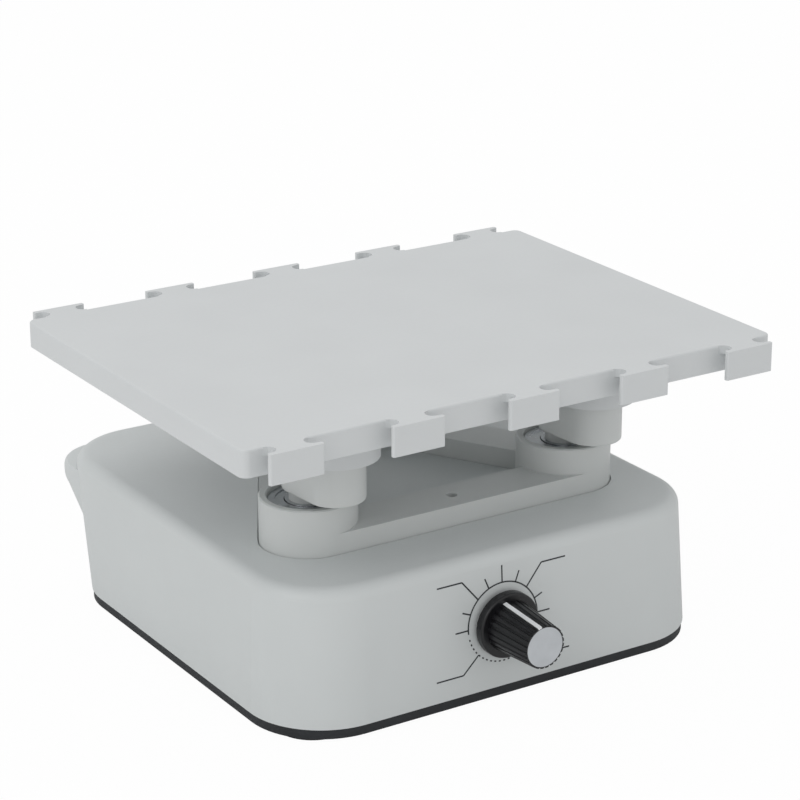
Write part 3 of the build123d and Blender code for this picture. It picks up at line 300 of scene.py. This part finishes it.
for name, (surface, nodes) in finishes.items():
    material = materials[name] = finish_of(name, surface)
    for node_name in nodes:
        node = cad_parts[node_name]
        if not node.material_slots:
            node.data.materials.append(material)
        for holder in node.material_slots:
            holder.material = material


def mesh_of(name, points, faces, body, slot, material):
    """Puts an array of points (mm) and a list of faces into a mesh that rides on a body."""
    data = bpy.data.meshes.new(name)
    data.from_pydata((points * MM).tolist(), [], faces)
    data.validate()
    data.materials.append(material)
    piece = bpy.data.objects.new(name, data)
    bpy.context.scene.collection.objects.link(piece)
    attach(piece, body)
    return piece


# Printed dial. Angles, and the pitch and length of its dashes, are in degrees clockwise from the
# top; lengths are measured from the knob's axis along the front wall
WALL_UP = np.array(Vector((0, -FRONT_LEAN, 1)).normalized())
WALL_OUT = np.array(Vector((0, -1, -FRONT_LEAN)).normalized())
WALL_AT_KNOB = HALF_DEPTH + FRONT_LEAN * (KNOB_HEIGHT - SHELL_BOTTOM)
DIAL_CENTRE = np.array(Vector((KNOB_X, -WALL_AT_KNOB, KNOB_HEIGHT)))
INK_HEIGHT = 0.05
INK_SINK = 0.02
LINE_WIDTH = 0.55
DIAL_RING = 15.0
RING_SOLID = (-96, 112)
RING_STEPS = 90
DASH_SPAN = (-104, -246)
DASH_PITCH = 7.5
DASH_LENGTH = 3.2
DASH_STEPS = 4
STRAIGHT_STEPS = 3
# Ticks: the angle, and how far out it ends
TICKS = ((0, 21.6), (-22.5, 19.4), (22.5, 19.4), (-67.5, 18.7), (67.5, 18.7),
         (-90, 20.5), (90, 20.5))
# Leaders of the right side, upper and lower: start at the ring, knee, and end
LEADERS = (((10.6, 10.9), (17.2, 18.8), (27.8, 18.8)),
           ((10.8, -10.4), (17.6, -16.7), (29.0, -16.7)))


def stroke(path):
    """A printed line on the front wall: at each point of the path a flat box section,
    half the width to each side, from just inside the wall to the ink's height."""
    path = np.asarray(path, float)
    along = np.gradient(path, axis=0)
    along /= np.linalg.norm(along, axis=1)[:, None]
    across = np.stack([-along[:, 1], along[:, 0]], axis=1) * LINE_WIDTH / 2
    flat = np.stack([path - across, path + across, path + across, path - across], axis=1)
    level = np.array([-INK_SINK, -INK_SINK, INK_HEIGHT, INK_HEIGHT])
    points = (DIAL_CENTRE[None, None] + flat[..., :1] * np.array([1.0, 0, 0])
              + flat[..., 1:] * WALL_UP + level[None, :, None] * WALL_OUT)
    count = len(path)
    ring = np.arange(count - 1)[:, None] * 4
    side = np.arange(4)[None, :]
    after = (side + 1) % 4
    quads = np.stack([ring + side, ring + after, ring + after + 4, ring + side + 4], axis=-1)
    caps = np.array([[3, 2, 1, 0], [count * 4 - 4, count * 4 - 3, count * 4 - 2, count * 4 - 1]])
    return points.reshape(-1, 3), np.concatenate([quads.reshape(-1, 4), caps])


def arc(start, end, radius, count):
    """Points (radius sin t, radius cos t) round the dial at even steps of the angle t."""
    turn = np.radians(np.linspace(start, end, count))
    return np.stack([radius * np.sin(turn), radius * np.cos(turn)], axis=1)


strokes = [stroke(arc(*RING_SOLID, DIAL_RING, RING_STEPS))]
for start in np.arange(*DASH_SPAN, -DASH_PITCH):
    strokes.append(stroke(arc(start, start - DASH_LENGTH, DIAL_RING, DASH_STEPS)))
for angle, reach in TICKS:
    ray = np.array([math.sin(math.radians(angle)), math.cos(math.radians(angle))])
    strokes.append(stroke(np.linspace(DIAL_RING * ray, reach * ray, STRAIGHT_STEPS)))
for side in (-1, 1):
    for leader in LEADERS:
        corners = np.array(leader) * (side, 1)
        for start, end in zip(corners[:-1], corners[1:]):
            strokes.append(stroke(np.linspace(start, end, STRAIGHT_STEPS)))
offsets = np.cumsum([0] + [len(p) for p, _ in strokes[:-1]])
dial_faces = np.concatenate([q + o for (_, q), o in zip(strokes, offsets)]).tolist()
mesh_of("dial_print", np.concatenate([p for p, _ in strokes]), dial_faces,
        "housing", "knob_plastic", finish_of("printed_ink", printed_ink))


# Rear hood: the photograph shows its corner standing out at the left, squarer than the solid's
HOOD_HALF_WIDTH = 88.3
HOOD_CORNER = 19.5
HOOD_INSET = 0.05
ARC_STEPS = 14
NOSE_STEPS = 7


def mirrored(half):
    """A path from the left to the middle, and on to its mirror image at the right."""
    return np.concatenate([half, half[::-1] * (-1, 1)])


def hood_ring(reach, z):
    """One level of the hood, a closed ring. Outside: x = -w and w, quarter circles of radius r,
    and y = reach. Inside: the housing's outline in the middle of its wall, an arc of radius m
    round the centre of the housing's corner. The two meet where the arc crosses x = -w, which is
    at the angle acos((w + centre x) / m), and there the side of the hood leaves the wall."""
    w, r = HOOD_HALF_WIDTH, HOOD_CORNER
    rise = (z - SHELL_BOTTOM) / SHELL_HEIGHT
    half_width = np.interp(rise, (0, 1), HOUSING_HALF_WIDTH)
    corner = np.interp(rise, (0, 1), HOUSING_CORNER)
    centre = np.array([corner - half_width,
                       HALF_DEPTH + REAR_LEAN * (z - SHELL_BOTTOM) - corner])
    m = corner - WALL / 2
    first = math.acos((w + centre[0]) / m)
    turn = np.linspace(first, math.pi / 2, ARC_STEPS + 1)
    inside = centre + m * np.stack([-np.cos(turn), np.sin(turn)], axis=1)
    turn = np.linspace(0, math.pi / 2, ARC_STEPS)
    bend = np.array([r - w, reach - r]) + r * np.stack([-np.cos(turn), np.sin(turn)], axis=1)
    outside = np.concatenate([inside[:1], bend])
    ring = np.concatenate([mirrored(outside), mirrored(inside)[1:-1][::-1]])
    return np.column_stack([ring, np.full(len(ring), z)])


def hood_mesh():
    """Skin of the hood: a slant from the wall to the nose, then y = reach - n + sqrt(n^2 - d^2)
    at distance d past the straight part of a nose rounded by n, and flat caps between the outside
    and the inside."""
    top = HOOD_TOP - HOOD_INSET
    nose = HOOD_TOP - HOOD_HEIGHT + HOOD_INSET
    foot = nose - HOOD_SLANT
    reach = HOOD_REACH - HOOD_INSET
    radius = HOOD_NOSE_RADIUS
    past = radius * np.sin(np.linspace(math.pi / 2, 0, NOSE_STEPS))
    back = radius - np.sqrt(np.maximum(radius ** 2 - past ** 2, 0))
    levels = [(HALF_DEPTH + REAR_LEAN * (foot - SHELL_BOTTOM), foot)]
    levels += [(reach - b, nose + radius - p) for p, b in zip(past[1:], back[1:])]
    levels += [(reach - b, top - radius + p) for p, b in zip(past[::-1], back[::-1])]
    rings = np.array([hood_ring(y, z) for y, z in levels])
    count = rings.shape[1]
    level = np.arange(len(levels) - 1)[:, None] * count
    step = np.arange(count)[None, :]
    after = (step + 1) % count
    skin = np.stack([level + step, level + step + count,
                     level + after + count, level + after], axis=-1)
    rung = np.arange(2 * ARC_STEPS + 1)
    cap = np.stack([rung, rung + 1, (count - rung - 1) % count, (count - rung) % count], axis=-1)
    last = (len(levels) - 1) * count
    faces = np.concatenate([skin.reshape(-1, 4), cap, last + cap[:, ::-1]]).tolist()
    # Where the outside and the inside meet, a quad has one point twice and becomes a triangle
    return rings.reshape(-1, 3), [list(dict.fromkeys(face)) for face in faces]


mesh_of("rear_hood", *hood_mesh(), "housing", "housing_moulding", materials["housing_paint"])


# Studio, in metres and watts
FLOOR_HALF = 6.0
FLOOR_LIFT = 0.97
SKY_STRENGTH = 0.68
# Place, point looked at, size and power
LAMPS = {
    "key_left": ((-1.3, -0.5, 1.1), (0, 0, 0.05), (1.0, 1.0), 4.8),
    "top_back": ((0.1, 0.7, 1.5), (0, 0, 0.1), (1.4, 1.0), 3.2),
    "front_fill": ((0.7, -1.5, 0.7), (0, 0, 0.05), (1.0, 0.8), 0.4),
}


def pale_floor(tree):
    """Plain white board, before the camera's view of it is lifted."""
    return {"Base Color": linear("#F4F4F4"), "Roughness": 0.9, "IOR": 1.4}


floor_corners = [(x, y, 0) for y in (-FLOOR_HALF, FLOOR_HALF) for x in (-FLOOR_HALF, FLOOR_HALF)]
floor_data = bpy.data.meshes.new("studio_floor")
floor_data.from_pydata(floor_corners, [], [[0, 1, 3, 2]])
floor = bpy.data.objects.new("studio_floor", floor_data)
bpy.context.scene.collection.objects.link(floor)
floor_paint = finish_of("studio_floor_white", pale_floor)
# The camera sees the floor lifted almost to white, with a trace of its shadows left, and the
# light still falls on plain board
floor_tree = floor_paint.node_tree
glow = add(floor_tree, "ShaderNodeEmission", Color=linear("#FFFFFF"), Strength=1.0)
board = next(n for n in floor_tree.nodes if n.type == "BSDF_PRINCIPLED")
output = next(n for n in floor_tree.nodes if n.type == "OUTPUT_MATERIAL")
camera_ray = add(floor_tree, "ShaderNodeLightPath").outputs["Is Camera Ray"]
lift = add(floor_tree, "ShaderNodeMapRange", Value=camera_ray, To_Max=FLOOR_LIFT).outputs[0]
blend = add(floor_tree, "ShaderNodeMixShader", _0=lift, _1=board.outputs[0], _2=glow.outputs[0])
floor_tree.links.new(blend.outputs[0], output.inputs[0])
floor_data.materials.append(floor_paint)

for name, (place, aim, size, power) in LAMPS.items():
    lamp = bpy.data.lights.new(name, "AREA")
    lamp.shape = "RECTANGLE"
    lamp.size, lamp.size_y = size
    lamp.energy = power
    holder = bpy.data.objects.new(name, lamp)
    holder.location = place
    holder.rotation_euler = (Vector(aim) - Vector(place)).to_track_quat("-Z", "Y").to_euler()
    bpy.context.scene.collection.objects.link(holder)

# The camera sees a white background, as does clear material. A dimmer one lights the model, and
# gloss mirrors that one
world = bpy.data.worlds.new("studio_world")
bpy.context.scene.world = world
world.use_nodes = True
sky = world.node_tree
sky.nodes.clear()
path = add(sky, "ShaderNodeLightPath")
seen = add(sky, "ShaderNodeMath", {"operation": "MAXIMUM"}, _0=path.outputs["Is Camera Ray"],
           _1=path.outputs["Is Transmission Ray"])
dim = add(sky, "ShaderNodeBackground", Color=linear("#FFFFFF"), Strength=SKY_STRENGTH)
white = add(sky, "ShaderNodeBackground", Color=linear("#FFFFFF"), Strength=1.0)
mixed = add(sky, "ShaderNodeMixShader", _0=seen.outputs[0], _1=dim.outputs[0],
            _2=white.outputs[0])
sky_output = add(sky, "ShaderNodeOutputWorld")
sky.links.new(mixed.outputs[0], sky_output.inputs[0])

# Camera, solved from the platform's corners: the eye, the angles in degrees (heading from +Y
# towards +X, pitch down, roll), and the lens in pixels of the photograph
EYE = (-514.6, -820.2, 436.4)
HEADING, PITCH, ROLL = 32.501, 19.867, -0.124
SENSOR = 36
PHOTO_WIDTH = 800
FOCAL_PIXELS = 2719.2
CLIP_END_METRES = 50
camera_data = bpy.data.cameras.new("photo_camera")
camera_data.sensor_width = SENSOR
camera_data.lens = FOCAL_PIXELS / PHOTO_WIDTH * SENSOR
camera_data.clip_end = CLIP_END_METRES
camera = bpy.data.objects.new("photo_camera", camera_data)
camera.matrix_world = (
    Matrix.Translation(Vector(EYE) * MM)
    @ Matrix.Rotation(math.radians(-HEADING), 4, "Z")
    @ Matrix.Rotation(math.radians(90 - PITCH), 4, "X")
    @ Matrix.Rotation(math.radians(ROLL), 4, "Z")
)
bpy.context.scene.collection.objects.link(camera)
bpy.context.scene.camera = camera
bpy.context.scene.view_settings.view_transform = "Standard"
